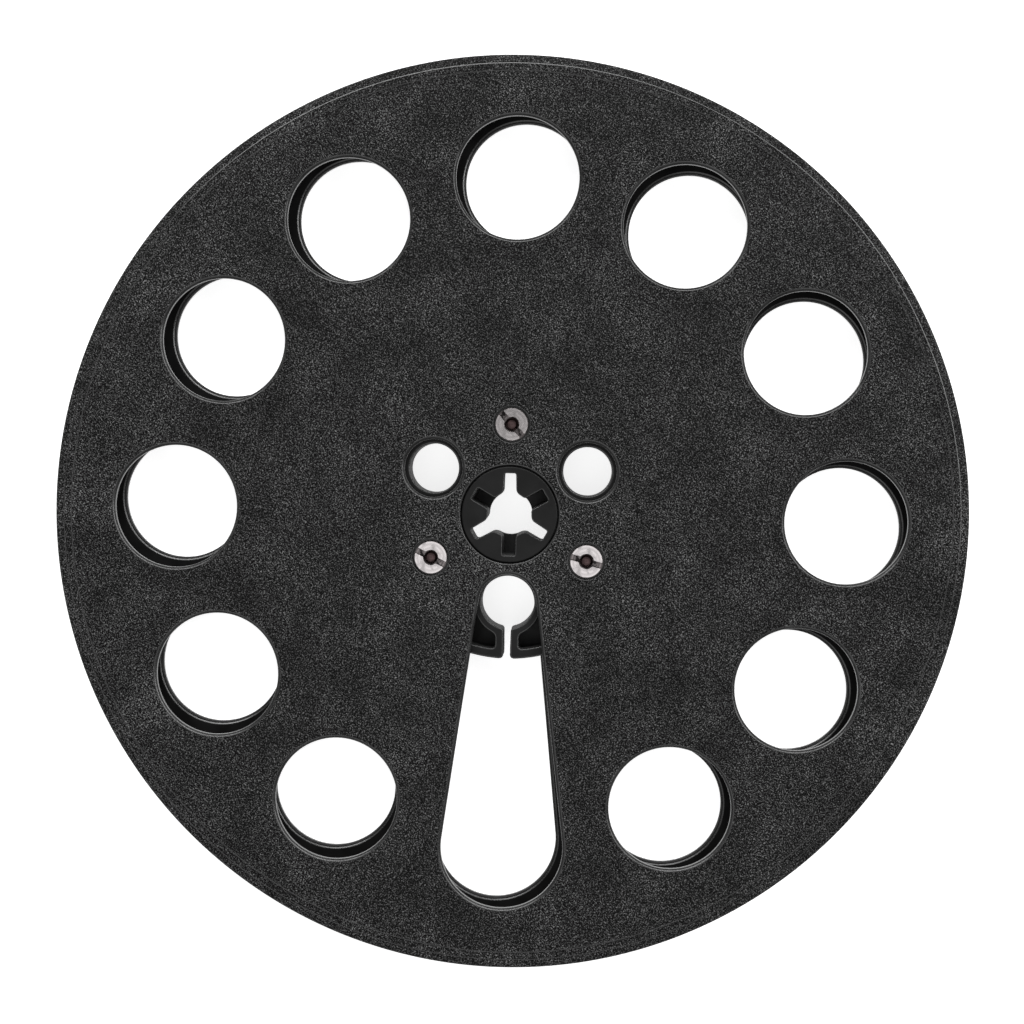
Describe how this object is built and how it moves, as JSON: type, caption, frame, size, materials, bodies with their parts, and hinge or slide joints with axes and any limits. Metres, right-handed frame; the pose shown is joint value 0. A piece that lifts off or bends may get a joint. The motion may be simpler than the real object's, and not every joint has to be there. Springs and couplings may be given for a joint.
{
  "type": "open tape reel",
  "caption": "Black plastic open reel for quarter-inch magnetic tape: two windowed flanges bolted to a small hub with a threading slit and a splined spindle hole.",
  "frame": {"origin": "on the reel's axis in the plane it lies on, the rear flange's outer face", "axes": "+Z along the reel's axis, out of the front face with the nuts; -Y towards the tapered window; +X to the right when the front face is looked at"},
  "size_m": [0.1778, 0.1778, 0.012],
  "materials": {
    "flange_plastic": "black moulded plastic with a fine spark-eroded grain",
    "hub_plastic": "smooth satin black moulded plastic",
    "nut_nickel": "bright nickel plate with fine turning marks",
    "screw_steel": "dull plated steel"
  },
  "bodies": {
    "root": {"front_flange": "flange_plastic", "rear_flange": "flange_plastic", "hub": "hub_plastic", "barrel_nut_top": "nut_nickel", "screw_top": "screw_steel", "barrel_nut_left": "nut_nickel", "screw_left": "screw_steel", "barrel_nut_right": "nut_nickel", "screw_right": "screw_steel"}
  },
  "joints": []
}
